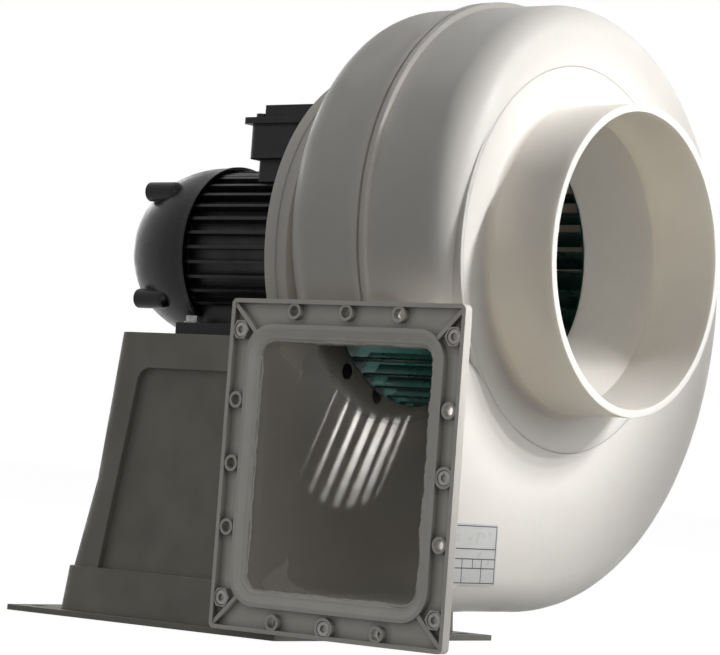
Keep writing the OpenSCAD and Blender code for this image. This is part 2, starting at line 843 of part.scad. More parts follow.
module motor_frame() {
    neck_w = tbox_w - 2 * neck_in_x;
    neck_l = tbox_l - 2 * neck_in_y;
    web_in = foot_pitch_x / 2 - foot_half - foot_web_t - over;
    rail_out = foot_pitch_x / 2 + foot_half;
    rail_len = foot_pitch_y + 2 * foot_end;
    color(motor_black) difference() {
        union() {
            ring(barrel_front, barrel_len, barrel_r, barrel_r - barrel_wall);
            on_shaft(barrel_front) {
                for (k = [0:fin_n - 1]) {
                    a = 360 * k / fin_n;
                    down = abs(a - 90);
                    if (down > 45) rotate([0, 0, a])
                        translate([barrel_r - barrel_wall / 2, -fin_t / 2, over / 2])
                        cube([fin_r - barrel_r + barrel_wall / 2, fin_t, barrel_len - over]);
                }
                linear_extrude(barrel_len) difference() {
                    shield_screw_places() circle(r = screw_post_r);
                    circle(r = barrel_r - over);
                }
            }
            for (s = [0, 1]) mirror([s, 0, 0]) translate([web_in, foot_front_y - foot_end, foot_z]) {
                translate([foot_web_t, 0, 0]) cube([rail_out - web_in - foot_web_t, rail_len, foot_t]);
                cube([foot_web_t + over, cowl_front - over - foot_front_y + foot_end, foot_t]);
                cube([foot_web_t, cowl_front - over - foot_front_y + foot_end, motor_h - web_in]);
            }
            translate([0, tbox_y, shaft_z + barrel_r - barrel_wall])
                round_block(neck_w, neck_l, tbox_z - shaft_z - barrel_r + barrel_wall, neck_r);
        }
        on_shaft(barrel_front - over) cylinder(h = barrel_len + 2 * over, r = barrel_r - barrel_wall);
        on_shaft(barrel_front - over) shield_screw_places()
            cylinder(h = barrel_len + 2 * over, r = m3 + fit);
        foot_places() translate([0, 0, -over]) cylinder(h = foot_t + 2 * over, r = foot_hole_r);
        translate([0, tbox_y, shaft_z]) cylinder(h = 2 * motor_h, r = entry_r);
        box_screw_places() translate([0, 0, -screw_in]) cylinder(h = screw_in + over, r = m4 + fit);
    }
}

// End shield with its bearing seat; the barrel's end lies at the origin
module end_shield() {
    lip_r = core_r;
    lip_in = lip_r - shield_t / 2;
    tube_r = bearing_r + shield_t - over / 2;
    rotate_extrude() polygon([
        [shaft_r + over / 2, shield_len], [tube_r, shield_len], [tube_r + over, shield_len - shield_t],
        [lip_in, shield_t], [barrel_r + over, shield_t], [barrel_r + over, 0], [lip_r, 0],
        [lip_r, -shield_t + over], [lip_in, -shield_t + over], [lip_in, over / 2],
        [tube_r, shield_t + over], [tube_r, seat_in], [bearing_r + fit, seat_in],
        [bearing_r + fit, seat_end], [shaft_r + over / 2, seat_end]
    ]);
    linear_extrude(shield_t) difference() {
        shield_screw_places() circle(r = screw_post_r);
        circle(r = barrel_r);
    }
}

module front_end_shield() {
    color(motor_black) on_shaft(barrel_front) rotate([0, 180, 0]) difference() {
        end_shield();
        shield_screw_places() translate([0, 0, -over]) cylinder(h = shield_t + 2 * over, r = m3 + slack);
    }
}

// Places children on the cowl's four lugs, r from the shaft
module lug_places(y, r) {
    on_shaft(y) for (a = lug_turns) rotate([0, 0, -a]) translate([r, 0, 0]) children();
}

module rear_end_shield() {
    color(motor_black) difference() {
        union() {
            on_shaft(barrel_back) end_shield();
            on_shaft(barrel_back) linear_extrude(shield_t) difference() {
                for (a = lug_turns) rotate([0, 0, -a]) translate([cowl_screw_ring_r, 0])
                    circle(r = cowl_ear_r);
                circle(r = barrel_r);
            }
        }
        on_shaft(barrel_back - over) shield_screw_places()
            cylinder(h = shield_t + 2 * over, r = m3 + slack);
        lug_places(barrel_back - over, cowl_screw_ring_r)
            cylinder(h = shield_t + 2 * over, r = m3 + fit);
    }
}

module shield_screws() {
    color(steel) {
        on_shaft(barrel_front - shield_t) shield_screw_places() rotate([180, 0, 0])
            screw(m3, shield_t + screw_in, $fn);
        on_shaft(barrel_back + shield_t) shield_screw_places() screw(m3, shield_t + screw_in, $fn);
    }
}

// Ball bearing starting at y: two rings with grooves and seven balls
module bearing(y) {
    mid_r = (bearing_r + shaft_r) / 2;
    ball_r = (bearing_r - shaft_r) / 4;
    race = ball_r / 2;
    difference() {
        union() {
            ring(y, bearing_w, bearing_r, mid_r + race);
            ring(y, bearing_w, mid_r - race, shaft_r + fit);
        }
        on_shaft(y + bearing_w / 2) rotate_extrude() translate([mid_r, 0]) circle(r = ball_r + fit);
    }
    on_shaft(y + bearing_w / 2) for (k = [1:7]) rotate([0, 0, 360 * k / 7]) translate([mid_r, 0, 0])
        sphere(r = ball_r);
}

module front_bearing() {
    color(steel) bearing(barrel_front - seat_end);
}

module rear_bearing() {
    color(steel) bearing(barrel_back + seat_in);
}

module preload_washer() {
    color(steel) ring(barrel_back + seat_in + bearing_w, preload_t, bearing_r - over, bearing_r - shield_t);
}

// Fan on the shaft's tail: hub, disc and radial blades
module cooling_fan() {
    color(motor_black) {
        ring(fan_front, fan_len, shaft_r + shield_t, shaft_r + fit);
        ring(fan_front, cowl_wall, fan_r, shaft_r + shield_t - fit);
        on_shaft(fan_front) for (k = [1:fan_blade_n]) rotate([0, 0, 360 * k / fan_blade_n])
            translate([shaft_r + shield_t / 2, -cowl_wall / 2, 0])
            cube([fan_r - shaft_r - shield_t / 2 - over, cowl_wall, fan_len - over]);
    }
}

// Profile of the cowl drawn in by d: a tube, a wide arc, a tighter arc and a flat end
module cowl_profile(d) {
    r = cowl_r - d;
    wide = cowl_arc_r - d;
    tight = cowl_edge_r - d;
    top = cowl_len - d;
    turn_x = r - wide + (wide - tight) * cos(cowl_turn);
    arc_y = top - tight - (wide - tight) * sin(cowl_turn);
    meet = [turn_x + tight * cos(cowl_turn), top - tight + tight * sin(cowl_turn)];
    polygon([[0, -d], [r, -d], [r, arc_y], meet, [turn_x, top], [0, top]]);
    intersection() {
        translate([r - wide, arc_y]) circle(r = wide);
        translate([0, arc_y]) square([2 * r, meet.y - arc_y]);
    }
    intersection() {
        translate([turn_x, top - tight]) circle(r = tight);
        translate([0, meet.y]) square([2 * r, top - meet.y]);
    }
}

// Children cut off flat underneath, d above the clearance over the pedestal
module cowl_flat(d) {
    intersection() {
        children();
        translate([-2 * cowl_r, cowl_front - 2 * over, foot_z + slack * 2 + d])
            cube([4 * cowl_r, 2 * cowl_len, 4 * cowl_r]);
    }
}

module fan_cowl() {
    color(motor_black) difference() {
        union() {
            difference() {
                cowl_flat(0) on_shaft(cowl_front) rotate_extrude() {
                    cowl_profile(0);
                    square([cowl_r + cowl_wall / 2, 2 * cowl_wall]);
                }
                cowl_flat(cowl_wall) on_shaft(cowl_front) rotate_extrude() cowl_profile(cowl_wall);
            }
            lug_places(lug_back - lug_len, lug_ring_r) {
                cylinder(h = lug_len, r = lug_r);
                sphere(r = lug_r);
            }
            lug_places(barrel_back + shield_t, cowl_screw_ring_r)
                cylinder(h = lug_back - lug_sink - barrel_back - shield_t, r = 2 * m3);
        }
        lug_places(barrel_back, cowl_screw_ring_r) cylinder(h = lug_back - barrel_back, r = m3 + slack);
        lug_places(lug_back - lug_sink, cowl_screw_ring_r)
            cylinder(h = lug_sink + over, r = head_share * m3 + slack);
        on_shaft(cowl_back - grille_deep) for (g = [0:grille_n - 1], k = [0:3])
            rotate([0, 0, 90 * k + grille_web_a / 2]) rotate_extrude(angle = 90 - grille_web_a)
            translate([grille_in + g * grille_pitch, 0]) square([grille_pitch / 2, grille_deep + over]);
    }
}

module cowl_screws() {
    head_y = lug_back - lug_sink;
    color(steel) lug_places(head_y, cowl_screw_ring_r) screw(m3, head_y - barrel_back, $fn);
}

// Places children on the motor's feet, on top of the pedestal
module foot_places() {
    for (sx = [-1, 1], y = [foot_front_y, foot_back_y]) translate([sx * foot_pitch_x / 2, y, foot_z])
        children();
}

module foot_bolts() {
    len = foot_t + washer_t + pedestal_top_t + 2 * m5 * nut_share;
    color(steel) foot_places() translate([0, 0, foot_t + washer_t]) screw(m5, len, 6);
}

module foot_washers() {
    color(steel) foot_places() translate([0, 0, foot_t]) difference() {
        cylinder(h = washer_t, r = 2 * m5 + over / 2);
        translate([0, 0, -over]) cylinder(h = washer_t + 2 * over, r = m5 + slack);
    }
}

module foot_nuts() {
    color(steel) foot_places() translate([0, 0, -pedestal_top_t]) rotate([180, 0, 0]) nut(m5);
}

// Outline of the pedestal seen from above, with round corners at the back
module pedestal_outline(w, front, back, r) {
    translate([-w / 2, -front]) square([w, front + back - r]);
    translate([-w / 2 + r, -front]) square([w - 2 * r, front + back]);
    for (s = [-1, 1]) translate([s * (w / 2 - r), back - r]) circle(r = r, $fn = 32);
}

// The pedestal above its plinth, drawn in by side on both sides and by wall elsewhere
module pedestal_body(side, wall, top) {
    knee_z = pedestal_z + pedestal_knee_h;
    low_z = pedestal_z + plinth_h;
    top_z = foot_z - top;
    knee_w = pedestal_low_w + (pedestal_top_w - pedestal_low_w) * (knee_z - low_z) / (foot_z - low_z);
    r = pedestal_corner_r - wall;
    front = pedestal_front - wall;
    knee_back = pedestal_back + pedestal_lean - wall;
    module layer(z, w, back) {
        translate([0, 0, z]) linear_extrude(skin) pedestal_outline(w - 2 * side, front, back, r);
    }
    hull() {
        layer(low_z - skin, pedestal_low_w, knee_back + pedestal_flare);
        layer(knee_z - skin, knee_w, knee_back);
    }
    hull() {
        layer(knee_z - skin, knee_w, knee_back);
        layer(top_z - skin, pedestal_top_w, pedestal_back - wall);
    }
}

// Places children on the plinth's corner screws
module plinth_screw_places() {
    for (sx = [-1, 1], y = [-pedestal_front + 2 * screw_in, pedestal_back])
        translate([sx * (plinth_w / 2 - screw_in), y, 0]) children();
}

module pedestal() {
    back = pedestal_back + pedestal_lean + pedestal_flare;
    inset = pedestal_wall + panel_depth;
    slope = atan((pedestal_low_w - pedestal_top_w) / 2 / (pedestal_h - plinth_h));
    panel_h = pedestal_h - plinth_h - panel_top;
    panel_front = pedestal_front - panel_margin;
    panel_back = pedestal_back - panel_margin;
    color(pp_grey) difference() {
        union() {
            difference() {
                union() {
                    pedestal_body(0, 0, 0);
                    hull() {
                        translate([0, 0, pedestal_z]) linear_extrude(skin) pedestal_outline(
                            plinth_w + 2 * plinth_draft, pedestal_front, back + plinth_draft, pedestal_corner_r);
                        translate([0, 0, pedestal_z + plinth_h - skin]) linear_extrude(skin)
                            pedestal_outline(plinth_w, pedestal_front, back, pedestal_corner_r);
                    }
                }
                pedestal_body(inset, pedestal_wall, pedestal_top_t);
                translate([0, 0, pedestal_z - over]) linear_extrude(plinth_h + over)
                    pedestal_outline(plinth_w - 2 * inset, pedestal_front - pedestal_wall,
                                     back - pedestal_wall, pedestal_corner_r - pedestal_wall);
            }
            translate([0, 0, pedestal_z]) plinth_screw_places() cylinder(h = plinth_h, r = screw_in);
        }
        for (s = [-1, 1]) translate([s * pedestal_low_w / 2, 0, pedestal_z + plinth_h])
            rotate([0, -s * slope, 0]) translate([-panel_depth, 0, 0]) rotate([90, 0, 90])
            linear_extrude(2 * panel_depth) {
                translate([-panel_front, 0]) square([panel_front + panel_back, panel_h - panel_r]);
                translate([-panel_front + panel_r, 0])
                    square([panel_front + panel_back - 2 * panel_r, panel_h]);
                for (y = [-panel_front + panel_r, panel_back - panel_r])
                    translate([y, panel_h - panel_r]) circle(r = panel_r);
                polygon([
                    [0, 0], [panel_back + panel_lean, 0], [panel_back, panel_h - panel_r], [0, panel_h - panel_r]
                ]);
            }
        foot_places() translate([0, 0, -pedestal_top_t - over])
            cylinder(h = pedestal_top_t + 2 * over, r = m5 + slack);
        case_bolt_places(disc_back - over) cylinder(h = pedestal_wall + 2 * over, r = m5 + slack);
        plinth_screw_places() cylinder(h = plinth_h - m5, r = m5 + fit);
    }
}

module base_plate() {
    color(pp_grey) difference() {
        round_block(plate_x, plate_y, plate_t, plate_corner_r);
        for (sx = [-1, 1], sy = [-1, 1])
            translate([sx * (plate_x / 2 - plate_hole_inset_x), sy * (plate_y / 2 - plate_hole_inset_y), -over])
                cylinder(h = plate_t + 2 * over, r = plate_hole_r);
        plinth_screw_places() {
            translate([0, 0, -over]) cylinder(h = plate_t + 2 * over, r = m5 + slack);
            translate([0, 0, -over]) cylinder(h = plate_t - over / 2 + over, r = 2 * m5 + slack);
        }
    }
}

module plinth_screws() {
    floor_z = plate_t - over / 2;
    color(steel) plinth_screw_places() {
        translate([0, 0, over / 2]) cylinder(h = floor_z - over / 2, r = 2 * m5);
        translate([0, 0, floor_z - fit]) cylinder(h = 2 * screw_in - m5, r = m5);
    }
}

// Places children on the screws that hold the terminal box down
module box_screw_places() {
    for (s = [-1, 1]) translate([s * (entry_r + 3 * m4), tbox_y, tbox_z]) children();
}

// Places children on the lid's corner screws
module lid_screw_places() {
    for (sx = [-1, 1], sy = [-1, 1])
        translate([sx * (tbox_w / 2 - post_in), tbox_y + sy * (tbox_l / 2 - post_in), tbox_top]) children();
}

module terminal_box() {
    inner_w = tbox_w - 2 * tbox_wall;
    inner_l = tbox_l - 2 * tbox_wall;
    color(motor_black) difference() {
        union() {
            translate([0, tbox_y, tbox_z]) difference() {
                round_block(tbox_w, tbox_l, tbox_h, tbox_r);
                translate([0, 0, tbox_wall]) round_block(inner_w, inner_l, tbox_h, tbox_r - tbox_wall);
            }
            lid_screw_places() translate([0, 0, -tbox_h]) cylinder(h = tbox_h, r = 2 * m4);
        }
        translate([0, tbox_y, tbox_z - over]) cylinder(h = tbox_wall + 2 * over, r = entry_r);
        box_screw_places() translate([0, 0, -over]) cylinder(h = tbox_wall + 2 * over, r = m4 + slack);
        lid_screw_places() translate([0, 0, -screw_in]) cylinder(h = screw_in + over, r = m4 + fit);
        gland_place(0) translate([0, 0, -tbox_r]) cylinder(h = 2 * tbox_r, r = gland_r + slack);
    }
}

module box_screws() {
    color(steel) box_screw_places() translate([0, 0, tbox_wall]) screw(m4, tbox_wall + screw_in - over, $fn);
}

module lid_gasket() {
    color(motor_black) difference() {
        translate([0, tbox_y, tbox_top]) linear_extrude(gasket_t) difference() {
            round_rect(tbox_w, tbox_l, tbox_r);
            round_rect(tbox_w - 4 * tbox_wall, tbox_l - 4 * tbox_wall, tbox_r / 2);
        }
        lid_screw_places() translate([0, 0, -over]) cylinder(h = gasket_t + 2 * over, r = m4 + slack);
    }
}

// Raised middle of the lid, with a sloping back edge and its corners cut out for the screws
module lid_crown(z) {
    w = tbox_w - 2 * crown_in;
    l = tbox_l + 2 * crown_out;
    difference() {
        translate([w / 2, tbox_y, z]) rotate([90, 0, -90]) linear_extrude(w) polygon([
            [-l / 2, 0], [l / 2, 0], [l / 2 - over, lid_rise], [-l / 2 + crown_slope, lid_rise]
        ]);
        for (sx = [-1, 1], sy = [-1, 1])
            translate([sx * w / 2 - crown_notch, tbox_y + sy * l / 2 - crown_notch, z - over])
            cube([2 * crown_notch, 2 * crown_notch, lid_rise + 2 * over]);
    }
}

module terminal_box_lid() {
    rim_z = tbox_top + gasket_t;
    hollow_w = tbox_w - 2 * crown_notch - 4 * tbox_wall;
    hollow_l = tbox_l - 2 * crown_notch - 4 * tbox_wall;
    color(motor_black) difference() {
        union() {
            translate([0, tbox_y, rim_z])
                round_block(tbox_w + 2 * lid_rim, tbox_l + 2 * lid_rim, lid_rim_t, lid_r);
            lid_crown(rim_z + lid_rim_t);
            translate([0, tbox_y, rim_z + lid_rim_t + lid_rise]) cylinder(h = over, r = tbox_r);
        }
        translate([0, tbox_y, rim_z - over])
            round_block(hollow_w, hollow_l, lid_rim_t + lid_rise + over - tbox_wall, lid_r);
        lid_screw_places() cylinder(h = gasket_t + lid_rim_t + over, r = m4 + slack);
    }
}

module lid_screws() {
    len = gasket_t + lid_rim_t + screw_in - over;
    color(steel) lid_screw_places() translate([0, 0, gasket_t + lid_rim_t]) screw(m4, len, $fn);
}

// Block of the six terminals, beside the wire entry
module terminal_block() {
    color(wheel_green) difference() {
        translate([-block_w / 2, block_y - block_d / 2, tbox_z + tbox_wall]) cube([block_w, block_d, block_h]);
        stud_places() translate([0, 0, -block_h / 2]) cylinder(h = block_h, r = m4 + fit);
    }
}

// Places children on the terminals, on top of their block
module stud_places() {
    for (k = [-1:1], s = [-1, 1])
        translate([k * block_w / 3, block_y + s * block_d / 4, tbox_z + tbox_wall + block_h]) children();
}

module terminal_studs() {
    color(brass) stud_places() {
        translate([0, 0, -block_h / 2]) cylinder(h = block_h, r = m4);
        cylinder(h = m4, r = head_share * m4, $fn = 6);
    }
}

// Places children on the gland's axis, their Z pointing out of the box's side wall
module gland_place(d) {
    translate([tbox_w / 2 + d, tbox_y, tbox_z + (tbox_h + tbox_wall) / 2]) rotate([0, 90, 0]) children();
}

module cable_gland() {
    color(motor_black) gland_place(0) difference() {
        union() {
            translate([0, 0, -tbox_wall - gland_r]) cylinder(h = tbox_wall + 2 * gland_r, r = gland_r);
            cylinder(h = gland_r / 2, r = gland_r * hex_share, $fn = 6);
            translate([0, 0, gland_r]) cylinder(h = gland_r, r = gland_r * hex_share, $fn = 12);
            translate([0, 0, 2 * gland_r]) cylinder(h = gland_r / 3, r1 = gland_r * dome_share, r2 = gland_r * mouth_share);
        }
        translate([0, 0, -tbox_wall - gland_r - over]) cylinder(h = 4 * gland_r + 2 * over, r = gland_r / 2);
    }
}

module gland_nut() {
    color(steel) gland_place(-tbox_wall) rotate([180, 0, 0]) difference() {
        cylinder(h = gland_r / 2, r = gland_r * hex_share, $fn = 6);
        translate([0, 0, -over]) cylinder(h = gland_r, r = gland_r + fit);
    }
}

base_plate();
plinth_screws();
pedestal();
front_shell();
rear_shell();
inlet_cone();
motor_side_disc();
disc_screws();
shaft_seal();
casing_bolts();
casing_nuts();
outlet_flange();
flange_screws();
flange_nuts();
impeller_back_plate();
impeller_blades();
impeller_front_ring();
impeller_hub();
hub_rivets();
hub_set_screw();
shaft_key();
motor_shaft();
rotor_core();
rotor_end_rings();
stator_core();
stator_windings();
motor_frame();
front_end_shield();
rear_end_shield();
shield_screws();
front_bearing();
rear_bearing();
preload_washer();
cooling_fan();
fan_cowl();
cowl_screws();
foot_bolts();
foot_washers();
foot_nuts();
terminal_box();
box_screws();
terminal_box_lid();
lid_gasket();
lid_screws();
terminal_block();
terminal_studs();
cable_gland();
gland_nut();
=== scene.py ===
"""Industrial centrifugal blower: looks, added pieces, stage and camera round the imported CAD."""
import json
import math
import random
import bmesh
import bpy
from mathutils import Matrix, Vector


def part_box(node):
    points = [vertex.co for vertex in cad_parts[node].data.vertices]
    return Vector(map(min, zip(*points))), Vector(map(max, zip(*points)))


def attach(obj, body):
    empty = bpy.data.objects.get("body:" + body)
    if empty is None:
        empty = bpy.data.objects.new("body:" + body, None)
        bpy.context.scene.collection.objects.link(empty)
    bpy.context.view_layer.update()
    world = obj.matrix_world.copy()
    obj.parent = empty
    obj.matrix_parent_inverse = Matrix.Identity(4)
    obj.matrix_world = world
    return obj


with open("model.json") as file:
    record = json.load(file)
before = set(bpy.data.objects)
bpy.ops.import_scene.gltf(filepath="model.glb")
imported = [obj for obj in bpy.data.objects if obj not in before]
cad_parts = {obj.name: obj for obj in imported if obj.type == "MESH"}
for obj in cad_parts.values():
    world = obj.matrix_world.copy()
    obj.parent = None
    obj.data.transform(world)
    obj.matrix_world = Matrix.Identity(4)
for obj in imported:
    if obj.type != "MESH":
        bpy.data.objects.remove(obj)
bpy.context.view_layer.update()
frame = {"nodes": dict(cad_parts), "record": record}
sc = bpy.context.scene
nodes = frame["nodes"]

# Materials -------------------------------------------------------------------
# A pair is the range of a source that ranged() spreads over; lengths are in metres.
CLOUD_RANGE = (0.3, 0.7)
EDGE_COSINE = (0.8, 1.0)       # rounded normal against true normal: a sharp edge, a flat face
# The lighter edges come in patches: real wear, and a painted highlight along edges
WEAR_AND_HIGHLIGHT_NOISE, WEAR_AND_HIGHLIGHT_RANGE = (180.0, 8.0, 0.7), (0.42, 0.62)
DUST_NOISE, DUST_RANGE = (55.0, 6.0, 0.65), (0.35, 0.65)
DUST_SLOPE = (0.2, 1.0)        # how far a face looks up: no dust, full dust
# Painted shade in hollows: how far the occlusion reaches, its range, and how dark the colour goes
HOLLOW_REACH, HOLLOW_RANGE, HOLLOW_SHADE = 0.005, (0.35, 0.95), 0.22
BUMP_DEPTH, BUMP_DETAIL = 0.0005, 6.0
SKIN_TINT = (1.0, 0.95, 0.85)  # how far red, green and blue light travel under the skin

# The lighter off-white is a painted highlight on the pale plastics' edges
OFF_WHITE, OFF_WHITE_EDGE_HIGHLIGHT = (0.80, 0.765, 0.71), (0.92, 0.90, 0.86)
DUST_ON_BLACK = (0.07, 0.068, 0.062)


def new_material(name):
    mat = bpy.data.materials.new(name)
    mat.use_nodes = True
    tree = mat.node_tree
    tree.nodes.clear()
    out = tree.nodes.new("ShaderNodeOutputMaterial")
    bsdf = tree.nodes.new("ShaderNodeBsdfPrincipled")
    tree.links.new(bsdf.outputs["BSDF"], out.inputs["Surface"])
    return mat, tree, bsdf


def noise(tree, scale, detail=4.0, rough=0.55, stretch=None):
    coord = tree.nodes.new("ShaderNodeTexCoord")
    n = tree.nodes.new("ShaderNodeTexNoise")
    n.inputs["Scale"].default_value = scale
    n.inputs["Detail"].default_value = detail
    n.inputs["Roughness"].default_value = rough
    source = coord.outputs["Object"]
    if stretch:
        mapping = tree.nodes.new("ShaderNodeMapping")
        mapping.inputs["Scale"].default_value = stretch
        tree.links.new(source, mapping.inputs["Vector"])
        source = mapping.outputs["Vector"]
    tree.links.new(source, n.inputs["Vector"])
    return n.outputs["Fac"]


def ramp(tree, src, positions, colors):
    r = tree.nodes.new("ShaderNodeValToRGB")
    for element, position, color in zip(r.color_ramp.elements, positions, colors):
        element.position, element.color = position, (*color, 1)
    tree.links.new(src, r.inputs["Fac"])
    return r.outputs["Color"]


def ranged(tree, src, low, high, start=0.0, end=1.0):
    r = tree.nodes.new("ShaderNodeMapRange")
    values = {"From Min": start, "From Max": end, "To Min": low, "To Max": high}
    for socket, value in values.items():
        r.inputs[socket].default_value = value
    tree.links.new(src, r.inputs["Value"])
    return r.outputs["Result"]


def combined(tree, operation, first, second):
    m = tree.nodes.new("ShaderNodeMath")
    m.operation = operation
    tree.links.new(first, m.inputs[0])
    tree.links.new(second, m.inputs[1])
    return m.outputs["Value"]


def laid_over(tree, mask, under, color):
    """Plain colour over another one, where the mask is white."""
    m = tree.nodes.new("ShaderNodeMix")
    m.data_type = "RGBA"
    tree.links.new(mask, m.inputs["Factor"])
    tree.links.new(under, m.inputs["A"])
    m.inputs["B"].default_value = (*color, 1)
    return m.outputs["Result"]


def edge_mask(tree, radius):
    """Rounded normal, and a mask that is white where it turns away from the true normal."""
    bevel = tree.nodes.new("ShaderNodeBevel")
    bevel.samples = 4
    bevel.inputs["Radius"].default_value = radius
    geo = tree.nodes.new("ShaderNodeNewGeometry")
    dot = tree.nodes.new("ShaderNodeVectorMath")
    dot.operation = "DOT_PRODUCT"
    tree.links.new(bevel.outputs["Normal"], dot.inputs[0])
    tree.links.new(geo.outputs["Normal"], dot.inputs[1])
    return bevel.outputs["Normal"], ranged(tree, dot.outputs["Value"], 1.0, 0.0, *EDGE_COSINE)


def shade(color, k):
    return tuple(v * k for v in color)


def surface(name, color, rough=0.5, rough_vary=0.12, metal=0.0, specular=0.5,
            vary=0.08, grain=25.0, stretch=None, bump=0.05, bump_scale=300.0,
            wear_and_edge_highlight=None, painted_hollow_shade=0.0, dust=None, glow=None):
    """Painted, moulded or metal surface: cloudy colour, uneven gloss and a fine grain.

    wear_and_edge_highlight: radius of the edges, and colour and strength of the lighter edges:
    real wear on the black paint, a painted highlight on the pale plastics and the wheel.
    painted_hollow_shade: strength of the painted shade that darkens hollows.
    dust: strength and colour of what settles on faces that look up.
    glow: weight and depth of the light that travels under the skin.
    """
    mat, tree, bsdf = new_material(name)
    cloud = noise(tree, grain, stretch=stretch)
    color_out = ramp(tree, cloud, CLOUD_RANGE, (shade(color, 1 - vary), shade(color, 1 + vary)))
    # Lighter edges: real wear on the black paint, a painted highlight on the pale plastics and
    # the wheel
    if wear_and_edge_highlight:
        radius, wear_and_highlight_color, wear_and_highlight_strength = wear_and_edge_highlight
        rounded_normal, edges = edge_mask(tree, radius)
        patches = ranged(tree, noise(tree, *WEAR_AND_HIGHLIGHT_NOISE), 0.0, wear_and_highlight_strength, *WEAR_AND_HIGHLIGHT_RANGE)
        mask = combined(tree, "MULTIPLY", edges, patches)
        color_out = laid_over(tree, mask, color_out, wear_and_highlight_color)
    # Painted shade: the colour darkens where ambient occlusion finds a hollow
    if painted_hollow_shade:
        hollow = tree.nodes.new("ShaderNodeAmbientOcclusion")
        hollow.samples = 6
        hollow.inputs["Distance"].default_value = HOLLOW_REACH
        mask = ranged(tree, hollow.outputs["AO"], painted_hollow_shade, 0.0, *HOLLOW_RANGE)
        color_out = laid_over(tree, mask, color_out, shade(color, HOLLOW_SHADE))
    if dust:
        amount, dust_color = dust
        geo = tree.nodes.new("ShaderNodeNewGeometry")
        parts = tree.nodes.new("ShaderNodeSeparateXYZ")
        tree.links.new(geo.outputs["Normal"], parts.inputs["Vector"])
        upward = ranged(tree, parts.outputs["Z"], 0.0, amount, *DUST_SLOPE)
        patches = ranged(tree, noise(tree, *DUST_NOISE), 0.0, 1.0, *DUST_RANGE)
        mask = combined(tree, "MULTIPLY", upward, patches)
        color_out = laid_over(tree, mask, color_out, dust_color)
    tree.links.new(color_out, bsdf.inputs["Base Color"])
    gloss = ranged(tree, noise(tree, grain * 3), rough - rough_vary, rough + rough_vary,
                   *CLOUD_RANGE)
    tree.links.new(gloss, bsdf.inputs["Roughness"])
    bumps = tree.nodes.new("ShaderNodeBump")
    bumps.inputs["Strength"].default_value = bump
    bumps.inputs["Distance"].default_value = BUMP_DEPTH
    tree.links.new(noise(tree, bump_scale, BUMP_DETAIL), bumps.inputs["Height"])
    if wear_and_edge_highlight:
        tree.links.new(rounded_normal, bumps.inputs["Normal"])
    tree.links.new(bumps.outputs["Normal"], bsdf.inputs["Normal"])
    bsdf.inputs["Metallic"].default_value = metal
    bsdf.inputs["Specular IOR Level"].default_value = specular
    if glow:
        weight, depth = glow
        bsdf.inputs["Subsurface Weight"].default_value = weight
        bsdf.inputs["Subsurface Radius"].default_value = SKIN_TINT
        bsdf.inputs["Subsurface Scale"].default_value = depth
    return mat


